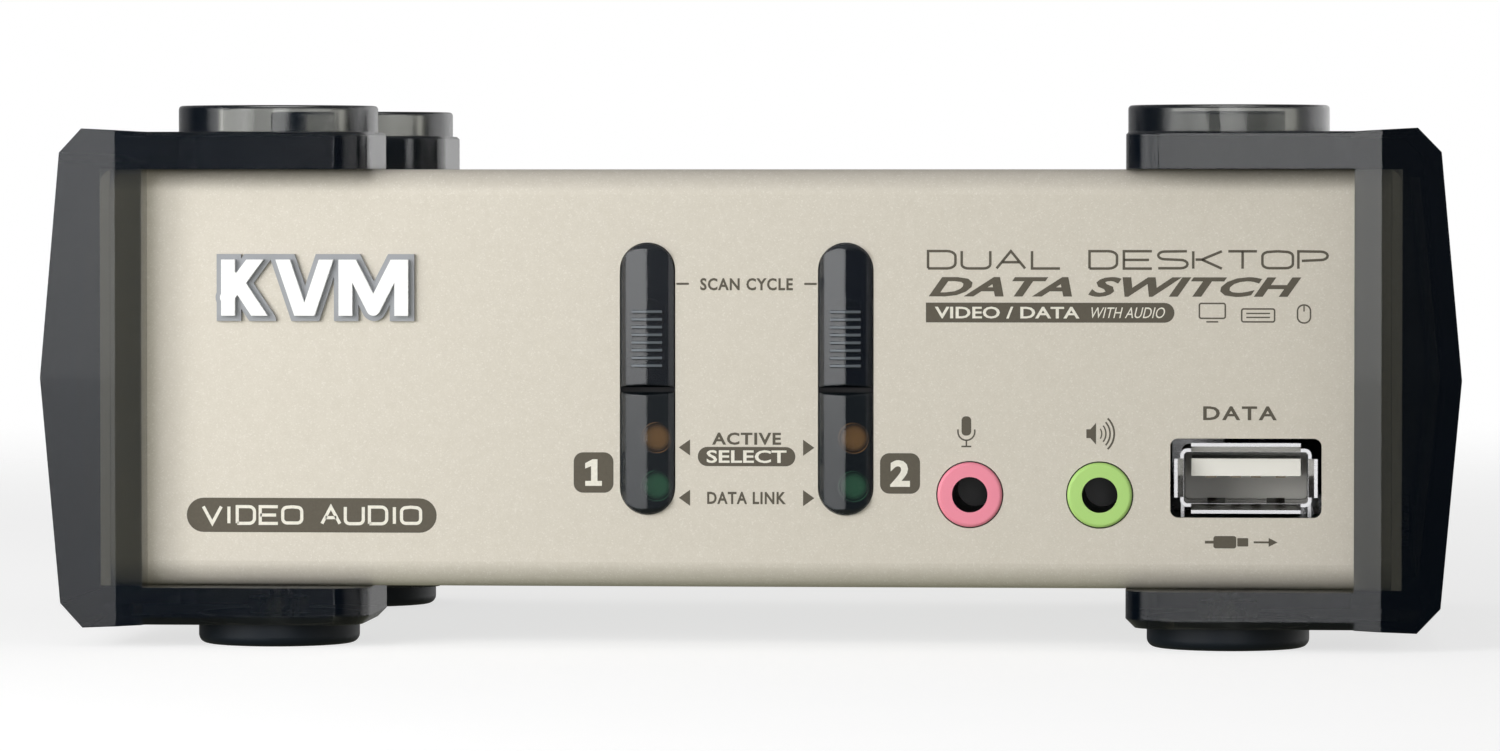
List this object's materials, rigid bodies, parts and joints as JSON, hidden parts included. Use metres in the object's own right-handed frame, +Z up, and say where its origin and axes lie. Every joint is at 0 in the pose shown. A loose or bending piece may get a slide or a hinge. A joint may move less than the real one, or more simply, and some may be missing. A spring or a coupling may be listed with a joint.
{
  "type": "kvm switch",
  "caption": "Desktop KVM switch: flat metal case between two smoke-tinted stacking bumpers, capsule buttons with lamps, front USB and audio sockets, video and input ports behind.",
  "frame": {"origin": "middle of the object's box in X and Y, on the plane the rubber feet stand on", "axes": "+X to the right seen from the front, +Y from the front panel to the rear connectors, +Z up"},
  "size_m": [0.144, 0.088, 0.055],
  "materials": {
    "case_paint": "champagne metallic, fine sparkle, semi-matt",
    "bare_steel": "zinc-plated sheet",
    "smoke_plastic": "smoke-tinted translucent, smooth",
    "foot_rubber": "matt",
    "screw_steel": "zinc-plated",
    "badge_grey": "satin",
    "badge_white": "gloss",
    "button_smoke": "polished",
    "window_smoke": "polished, translucent",
    "black_plastic": "moulded",
    "circuit_board": "solder mask",
    "switch_body": "moulded",
    "plunger_cream": "moulded",
    "led_orange": "tinted epoxy",
    "led_green": "tinted epoxy",
    "shell_chrome": "bright tin plate",
    "tongue_white": "moulded",
    "contact_gold": "gold flash",
    "socket_pink": "moulded",
    "socket_green": "moulded",
    "port_blue": "moulded",
    "port_yellow": "moulded",
    "socket_purple": "moulded",
    "brass_post": "turned",
    "capacitor_sleeve": "shrink sleeve"
  },
  "bodies": {
    "root": {"front_panel": "case_paint", "top_cover": "case_paint", "base_tray": "bare_steel", "rear_panel": "case_paint", "left_bumper": "smoke_plastic", "right_bumper": "smoke_plastic", "rubber_feet": "foot_rubber", "bumper_screws": "screw_steel", "cover_screws": "screw_steel", "badge_plate": "badge_grey", "badge_letters": "badge_white", "indicator_window_1": "window_smoke", "indicator_window_2": "window_smoke", "button_carrier": "black_plastic", "control_board": "circuit_board", "tact_switches": "switch_body", "selected_leds": "led_orange", "link_leds": "led_green", "control_header": "black_plastic", "front_usb_shell": "shell_chrome", "front_usb_tongue": "tongue_white", "front_usb_contacts": "contact_gold", "mic_socket": "socket_pink", "speaker_socket": "socket_green", "main_board": "circuit_board", "upper_board": "circuit_board", "board_standoffs": "brass_post", "board_spacers": "brass_post", "board_screws": "screw_steel", "board_link": "black_plastic", "controller_chips": "black_plastic", "capacitors": "capacitor_sleeve", "crystal": "shell_chrome", "monitor_port_shell": "shell_chrome", "monitor_port_core": "port_blue", "computer_port_shells": "shell_chrome", "computer_port_cores": "port_yellow", "port_jackscrews": "shell_chrome", "rear_usb_shell": "shell_chrome", "rear_usb_tongues": "tongue_white", "keyboard_socket": "socket_purple", "mouse_socket": "socket_green", "ps2_shields": "shell_chrome", "ps2_cores": "black_plastic", "rear_speaker_socket": "socket_green", "rear_mic_socket": "socket_pink", "firmware_socket": "black_plastic", "power_socket": "black_plastic", "power_pin": "shell_chrome", "firmware_switch": "shell_chrome"},
    "button_1": {"button_cap_1": "button_smoke", "switch_plunger_1": "plunger_cream"},
    "button_2": {"button_cap_2": "button_smoke", "switch_plunger_2": "plunger_cream"},
    "firmware_slider": {"firmware_knob": "black_plastic"}
  },
  "joints": [
    {"name": "button_1_press", "type": "slide", "parent": "root", "child": "button_1", "axis": [0, 1, 0], "range_m": [0, 0.0005]},
    {"name": "button_2_press", "type": "slide", "parent": "root", "child": "button_2", "axis": [0, 1, 0], "range_m": [0, 0.0005]},
    {"name": "firmware_slide", "type": "slide", "parent": "root", "child": "firmware_slider", "axis": [1, 0, 0], "range_m": [0, 0.002]}
  ]
}
